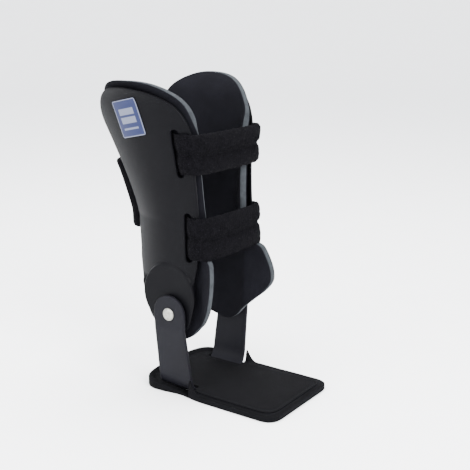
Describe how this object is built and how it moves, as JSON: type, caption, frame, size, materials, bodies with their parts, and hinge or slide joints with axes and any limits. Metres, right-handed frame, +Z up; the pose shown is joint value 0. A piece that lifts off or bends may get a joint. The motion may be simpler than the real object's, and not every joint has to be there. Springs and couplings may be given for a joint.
{
  "type": "ankle foot orthosis",
  "caption": "Hinged ankle foot orthosis: a U-shaped stirrup under the foot, padded side shells that turn at the ankle, and plush straps in front of and behind the leg.",
  "frame": {"origin": "on the underside of the stirrup, straight below the ankle axis and midway between the two uprights", "axes": "+Z up along the leg, -Y toward the toes, +X from the lateral side (-X) to the medial side (+X); the ankle axis runs along X at Z 0.073"},
  "size_m": [0.126, 0.182, 0.265],
  "materials": {
    "shell_plastic": "satin charcoal moulded shell",
    "stirrup_plastic": "satin charcoal, a little lighter than the shell",
    "footbed": "black fabric-covered foam",
    "liner_fabric": "near-black brushed knit",
    "liner_foam": "grey closed-cell foam, cut edge",
    "plush": "black plush loop pile with stitched centre seam",
    "hook_tape": "black hook tape",
    "washer_nylon": "black nylon",
    "rivet_steel": "nickel-plated steel",
    "label_blue": "printed blue label with a pale border"
  },
  "bodies": {
    "stirrup": {"stirrup": "stirrup_plastic", "footbed_foam": "footbed", "footbed_cover": "footbed", "lateral_rivet": "rivet_steel", "medial_rivet": "rivet_steel"},
    "lateral_side": {"lateral_friction_washer": "washer_nylon", "lateral_backing_washer": "rivet_steel", "lateral_shell": "shell_plastic", "lateral_liner_outer_fabric": "liner_fabric", "lateral_liner_foam": "liner_foam", "lateral_liner_inner_fabric": "liner_fabric", "lateral_upper_liner_hook_patch": "hook_tape", "lateral_lower_liner_hook_patch": "hook_tape", "lateral_rear_strap_hook_tab": "hook_tape", "upper_strap": "plush", "lower_strap": "plush", "rear_strap": "plush", "side_label": "label_blue"},
    "medial_side": {"medial_friction_washer": "washer_nylon", "medial_backing_washer": "rivet_steel", "medial_shell": "shell_plastic", "medial_liner_outer_fabric": "liner_fabric", "medial_liner_foam": "liner_foam", "medial_liner_inner_fabric": "liner_fabric", "medial_upper_liner_hook_patch": "hook_tape", "medial_lower_liner_hook_patch": "hook_tape", "medial_rear_strap_hook_tab": "hook_tape", "upper_shell_loop_patch": "hook_tape", "lower_shell_loop_patch": "hook_tape"},
    "upper_tab": {"upper_strap_hook_tab": "plush"},
    "lower_tab": {"lower_strap_hook_tab": "plush"}
  },
  "joints": [
    {"name": "lateral_ankle_hinge", "type": "hinge", "parent": "stirrup", "child": "lateral_side", "pos_m": [-0.0465, 0, 0.073], "axis": [1, 0, 0], "range_deg": [-45, 25]},
    {"name": "medial_ankle_hinge", "type": "hinge", "parent": "stirrup", "child": "medial_side", "pos_m": [0.0465, 0, 0.073], "axis": [1, 0, 0], "range_deg": [-45, 25]},
    {"name": "upper_tab_peel", "type": "hinge", "parent": "lateral_side", "child": "upper_tab", "pos_m": [0.0469, -0.02, 0.2085], "axis": [-0.0922, 0, -0.9957], "range_deg": [0, 100]},
    {"name": "lower_tab_peel", "type": "hinge", "parent": "lateral_side", "child": "lower_tab", "pos_m": [0.04333, -0.023, 0.1395], "axis": [0.0038, 0, -1], "range_deg": [0, 100]}
  ],
  "couplings": [
    {"joint": "medial_ankle_hinge", "follows": "lateral_ankle_hinge", "ratio": 1}
  ]
}
